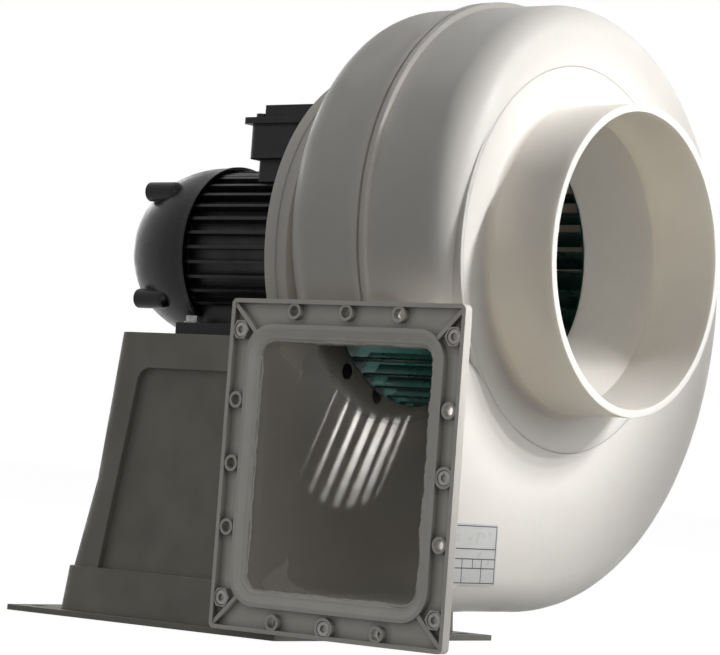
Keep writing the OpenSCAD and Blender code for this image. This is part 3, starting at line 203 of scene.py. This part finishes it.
LOOKS = {
    # The pale plastics' lighter edges are a painted highlight
    "casing_plastic": dict(
        color=OFF_WHITE, rough=0.45, specular=0.35, vary=0.035, grain=14,
        bump=0.10, bump_scale=220, wear_and_edge_highlight=(0.0008, OFF_WHITE_EDGE_HIGHLIGHT, 0.6),
        dust=(0.10, (0.52, 0.49, 0.43)), glow=(0.45, 0.006)),
    "inlet_plastic": dict(
        color=OFF_WHITE, rough=0.45, specular=0.35, vary=0.03, grain=14,
        bump=0.08, bump_scale=220, wear_and_edge_highlight=(0.0006, OFF_WHITE_EDGE_HIGHLIGHT, 0.5), glow=(0.55, 0.008)),
    # The flange's bright edges are a painted highlight, its darkened hollows painted shade
    "flange_plastic": dict(
        color=(0.78, 0.75, 0.69), rough=0.42, vary=0.06, grain=30,
        bump=0.2, bump_scale=240, wear_and_edge_highlight=(0.0005, (1.0, 0.98, 0.93), 1.0), painted_hollow_shade=0.85),
    # The pedestal is the casing's pale polypropylene; its dark grey colour is painted shade, and
    # so are its darkened hollows
    "support_plastic": dict(
        color=(0.30, 0.29, 0.255), rough=0.55, specular=0.3, vary=0.12, grain=18,
        bump=0.2, bump_scale=260, wear_and_edge_highlight=(0.0008, (0.50, 0.49, 0.44), 0.7), painted_hollow_shade=0.3,
        dust=(0.16, (0.45, 0.43, 0.38))),
    # The teal on the wheel's edges is a painted highlight
    "wheel_plastic": dict(
        color=(0.008, 0.040, 0.032), rough=0.32, specular=0.45, vary=0.15,
        wear_and_edge_highlight=(0.0004, (0.05, 0.16, 0.13), 0.8)),
    "motor_paint": dict(
        color=(0.007, 0.007, 0.0075), rough=0.40, specular=0.24, vary=0.25,
        bump=0.22, bump_scale=420, wear_and_edge_highlight=(0.0006, (0.12, 0.12, 0.115), 0.8),
        dust=(0.2, DUST_ON_BLACK)),
    "cowl_steel": dict(
        color=(0.006, 0.0065, 0.0065), rough=0.30, specular=0.22, vary=0.25,
        bump=0.12, bump_scale=350, wear_and_edge_highlight=(0.0006, (0.16, 0.16, 0.155), 0.9),
        dust=(0.12, DUST_ON_BLACK)),
    "black_plastic": dict(
        color=(0.015, 0.015, 0.016), specular=0.35, bump=0.1,
        dust=(0.2, (0.09, 0.085, 0.08))),
    "steel": dict(
        color=(0.50, 0.50, 0.51), rough=0.36, rough_vary=0.1, metal=1.0,
        vary=0.12, grain=90, bump=0.1),
    "dull_steel": dict(
        color=(0.30, 0.295, 0.28), rough=0.55, metal=0.7, vary=0.2, grain=120, bump=0.2),
    "core_steel": dict(
        color=(0.25, 0.24, 0.23), metal=1.0, stretch=(1, 60, 1), bump=0.3),
    "rotor_aluminium": dict(
        color=(0.66, 0.66, 0.67), rough=0.42, metal=1.0, vary=0.1, bump=0.15),
    "copper": dict(
        color=(0.58, 0.24, 0.10), rough=0.38, metal=1.0, vary=0.15, stretch=(1, 1, 25),
        bump=0.4),
    "brass": dict(
        color=(0.68, 0.48, 0.19), rough=0.33, metal=1.0, vary=0.12, grain=60),
    "rubber": dict(
        color=(0.02, 0.02, 0.02), rough=0.72, specular=0.3, bump=0.15),
    "label_paper": dict(
        color=(0.60, 0.60, 0.585), rough=0.35, specular=0.4, vary=0.03, grain=60, bump=0.03),
    "label_ink": dict(
        color=(0.05, 0.05, 0.055), specular=0.3, vary=0.1, grain=200, bump=0.02),
}
# Nodes that look a little different from the rest of their slot
OWN_LOOK = {
    "inlet_cone": "inlet_plastic",
    "outlet_flange": "flange_plastic",
    "flange_screws": "dull_steel",
    "foot_bolts": "dull_steel",
    "foot_washers": "dull_steel",
}
materials = {name: surface(name, **values) for name, values in LOOKS.items()}
slot_of = {s["node"]: s["material_slot"] for s in frame["record"]["subparts"]}
for name, obj in nodes.items():
    obj.data.materials.clear()
    obj.data.materials.append(materials[OWN_LOOK.get(name, slot_of[name])])


# Pieces of the scene ---------------------------------------------------------
def rounded_rectangle(half_w, half_h, r, steps=8):
    points = []
    for cx, cy, start in ((1, 1, 0), (-1, 1, 90), (-1, -1, 180), (1, -1, 270)):
        for k in range(steps + 1):
            a = math.radians(start + 90 * k / steps)
            points.append((cx * (half_w - r) + r * math.cos(a),
                           cy * (half_h - r) + r * math.sin(a)))
    return points


def prism(bm, outline, depth, place, material):
    """Solid between an outline at depth[0] and at depth[1]; place(u, v, d) gives a point."""
    rings = [[bm.verts.new(place(u, v, d)) for u, v in outline] for d in depth]
    faces = [bm.faces.new(rings[0][::-1]), bm.faces.new(rings[1])]
    n = len(outline)
    for k in range(n):
        after = (k + 1) % n
        faces.append(bm.faces.new((rings[0][k], rings[0][after], rings[1][after], rings[1][k])))
    for f in faces:
        f.material_index = material


def piece(name, bm, mats, body):
    bmesh.ops.recalc_face_normals(bm, faces=bm.faces)
    mesh = bpy.data.meshes.new(name)
    bm.to_mesh(mesh)
    bm.free()
    obj = bpy.data.objects.new(name, mesh)
    sc.collection.objects.link(obj)
    for mat in mats:
        mesh.materials.append(mat)
    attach(obj, body)
    return obj


# Bare rating label on the casing's front: ruled cells with nothing written in them
LABEL_MID = (-0.0735, 0.0522)  # x and z
LABEL_FACE_Y = -0.1972
LABEL_HALF, LABEL_CORNER = (0.0202, 0.0152), 0.0012
PAPER_DEPTH, INK_DEPTH = 0.0002, 0.00026
PAPER, INK = 0, 1
MARGIN, LINE = 0.0011, 0.0005


def on_label(u, v, d):
    return (LABEL_MID[0] + u, LABEL_FACE_Y - d, LABEL_MID[1] + v)


def rule(bm, u0, u1, v0, v1):
    prism(bm, [(u0, v0), (u1, v0), (u1, v1), (u0, v1)], (PAPER_DEPTH, INK_DEPTH), on_label, INK)


bm = bmesh.new()
prism(bm, rounded_rectangle(*LABEL_HALF, LABEL_CORNER), (0.0, PAPER_DEPTH), on_label, PAPER)
side, top = LABEL_HALF[0] - MARGIN, LABEL_HALF[1] - MARGIN
row_1, row_2, row_3 = 0.0028, -0.0022, -0.0068
column_1, column_2, column_3 = -0.009, 0.0, 0.0075
for v in (top, row_1, row_2, row_3, -top):
    rule(bm, -side, side, v - LINE / 2, v + LINE / 2)
for u in (-side, side):
    rule(bm, u - LINE / 2, u + LINE / 2, -top - LINE / 2, top + LINE / 2)
for u, low_v, high_v in (
        (column_1, -top, row_2), (column_3, -top, row_2), (column_2, row_3, row_2)):
    rule(bm, u - LINE / 2, u + LINE / 2, low_v, high_v)
piece("rating_label", bm, [materials["label_paper"], materials["label_ink"]],
      "housing")

# Ragged bead of welding flash round the duct's opening, just behind the flange's face
FLASH_SETBACK = 0.0042
MOUTH_MID = (-0.1407, 0.08875)  # y and z
MOUTH_HALF, MOUTH_CORNER, CORNER_STEPS = (0.0541, 0.0636), 0.008, 10
FLASH_STEP, FLASH_SIDES = 0.0011, 6
WANDER_KEPT, WANDER_STEP = 0.85, 0.0004
FLASH_START, FLASH_LEAST, FLASH_MOST = 0.0006, 0.0004, 0.0016
FLASH_KEPT, FLASH_NEW, FLASH_DRAW = 0.7, 0.3, (0.0002, 0.0021)

rng = random.Random(7)
flange_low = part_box("outlet_flange")[0]
bead_x = flange_low[0] + FLASH_SETBACK
path = rounded_rectangle(*MOUTH_HALF, MOUTH_CORNER, CORNER_STEPS)
points = []
for k, (u, v) in enumerate(path):
    u2, v2 = path[(k + 1) % len(path)]
    count = max(1, int(math.hypot(u2 - u, v2 - v) / FLASH_STEP))
    for i in range(count):
        t = i / count
        points.append((u + (u2 - u) * t, v + (v2 - v) * t))
bm = bmesh.new()
wander, radius, rings = 0.0, FLASH_START, []
for k, (u, v) in enumerate(points):
    wander = wander * WANDER_KEPT + rng.uniform(-WANDER_STEP, WANDER_STEP)
    radius = radius * FLASH_KEPT + FLASH_NEW * rng.uniform(*FLASH_DRAW)
    radius = min(FLASH_MOST, max(FLASH_LEAST, radius))
    u1, v1 = points[k - 1]
    u2, v2 = points[(k + 1) % len(points)]
    along = Vector((0, u2 - u1, v2 - v1)).normalized()
    inward = Vector((0, -along.z, along.y))
    base = Vector((bead_x + wander, MOUTH_MID[0] + u, MOUTH_MID[1] + v))
    turns = (2 * math.pi * j / FLASH_SIDES for j in range(FLASH_SIDES))
    rings.append([
        bm.verts.new(base + (inward * math.cos(a) + Vector((1, 0, 0)) * math.sin(a)) * radius)
        for a in turns])
for k, ring in enumerate(rings):
    after = rings[(k + 1) % len(rings)]
    for j in range(FLASH_SIDES):
        j2 = (j + 1) % FLASH_SIDES
        bm.faces.new((ring[j], after[j], after[j2], ring[j2]))
bead = piece("opening_flash", bm, [materials["flange_plastic"]], "housing")
for poly in bead.data.polygons:
    poly.use_smooth = True

# Stage -----------------------------------------------------------------------
FLOOR_SIZE, FLOOR_Z = 30, -0.0005
FLOOR_COLOR = (0.26, 0.26, 0.255, 1)
FLOOR_SEEN = 0.96
WORLD_LIGHT, WORLD_SEEN = 0.10, 1.0


def seen_directly(tree):
    """One for camera, glossy and transmission rays, zero for the rays that light surfaces."""
    rays = tree.nodes.new("ShaderNodeLightPath")
    total = rays.outputs["Is Camera Ray"]
    for name in ("Is Glossy Ray", "Is Transmission Ray"):
        total = combined(tree, "MAXIMUM", total, rays.outputs[name])
    return total


bpy.ops.mesh.primitive_plane_add(size=FLOOR_SIZE, location=(0, 0, FLOOR_Z))
floor = bpy.context.object
floor.name = "floor"
floor_mat, floor_tree, floor_bsdf = new_material("floor_white")
floor_bsdf.inputs["Base Color"].default_value = FLOOR_COLOR
floor_bsdf.inputs["Roughness"].default_value = 0.9
floor_bsdf.inputs["Specular IOR Level"].default_value = 0.0
floor_bsdf.inputs["Emission Color"].default_value = (1, 1, 1, 1)
floor_tree.links.new(ranged(floor_tree, seen_directly(floor_tree), 0.0, FLOOR_SEEN),
                     floor_bsdf.inputs["Emission Strength"])
floor.data.materials.append(floor_mat)

world = bpy.data.worlds.new("studio")
sc.world = world
world.use_nodes = True
world_tree = world.node_tree
world_tree.nodes.clear()
world_out = world_tree.nodes.new("ShaderNodeOutputWorld")
sky = world_tree.nodes.new("ShaderNodeBackground")
sky.inputs["Color"].default_value = (1, 1, 1, 1)
world_tree.links.new(ranged(world_tree, seen_directly(world_tree), WORLD_LIGHT, WORLD_SEEN),
                     sky.inputs["Strength"])
world_tree.links.new(sky.outputs["Background"], world_out.inputs["Surface"])


def lamp(name, data, at, target):
    """Lamp aimed at a point, hidden from the camera."""
    obj = bpy.data.objects.new(name, data)
    sc.collection.objects.link(obj)
    obj.visible_camera = False
    obj.location = at
    obj.rotation_mode = "QUATERNION"
    obj.rotation_quaternion = (Vector(target) - Vector(at)).to_track_quat("-Z", "Y")


# Soft boxes: a wide one for the front, and weak ones for the back, the mouth and the top
front = Vector((0, -0.2, 0.19))
for name, at, target, size, power in (
        ("front_box", front + Vector((0.75, -2.85, 0.28)), front, (2.6, 2.2), 54),
        ("back_box", (1.3, 2.7, 0.8), (0, 0, 0.15), (1.6, 1.6), 12),
        ("mouth_fill", (-2.6, -0.9, 0.5), (-0.1, -0.14, 0.1), (0.8, 0.8), 4.5),
        ("top_box", (-0.5, 0.5, 2.0), (0, 0.05, 0.2), (0.9, 0.7), 2.5)):
    box = bpy.data.lights.new(name, "AREA")
    box.energy = power
    box.shape = "RECTANGLE"
    box.size, box.size_y = size
    lamp(name, box, at, target)

# Narrow spots at four slopes shine through the inlet and between the blades into the duct
EYE = Vector((-0.038, -0.125, 0.146))
SNOOT_DISTANCE = 3
for slope in (0.68, 0.82, 0.96, 1.1):
    snoot = bpy.data.lights.new("snoot", "SPOT")
    snoot.energy = 520
    snoot.shadow_soft_size = 0.11
    snoot.spot_size = math.radians(2.3)
    snoot.spot_blend = 0.4
    toward_lamp = Vector((0.48 * slope, -1, 0.88 * slope)).normalized()
    lamp("snoot", snoot, EYE + toward_lamp * SNOOT_DISTANCE, EYE)

# Camera: solved from the photo -----------------------------------------------
PHOTO_WIDTH, FOCAL_LENGTH = 720, 2872.19  # pixels
SENSOR_WIDTH = 36                         # millimetres
AZIMUTH, ELEVATION, ROLL = -52.45, -2.93, 4.15
CAMERA_AT = (-1.24059, -1.01402, 0.08741)

cam_data = bpy.data.cameras.new("camera")
cam = bpy.data.objects.new("camera", cam_data)
sc.collection.objects.link(cam)
sc.camera = cam
cam_data.sensor_width = SENSOR_WIDTH
cam_data.lens = FOCAL_LENGTH / PHOTO_WIDTH * SENSOR_WIDTH
cam_data.clip_start, cam_data.clip_end = 0.05, 100
az, el, roll = (math.radians(v) for v in (AZIMUTH, ELEVATION, ROLL))
back = Vector((math.sin(az) * math.cos(el), -math.cos(az) * math.cos(el), math.sin(el)))
right = (-back).cross(Vector((0, 0, 1))).normalized()
up = right.cross(-back)
rolled_right = right * math.cos(roll) + up * math.sin(roll)
rolled_up = up * math.cos(roll) - right * math.sin(roll)
pose = Matrix.Identity(4)
pose.col[0][:3], pose.col[1][:3], pose.col[2][:3] = rolled_right, rolled_up, back
pose.col[3][:3] = CAMERA_AT
cam.matrix_world = pose

sc.view_settings.view_transform = "Standard"
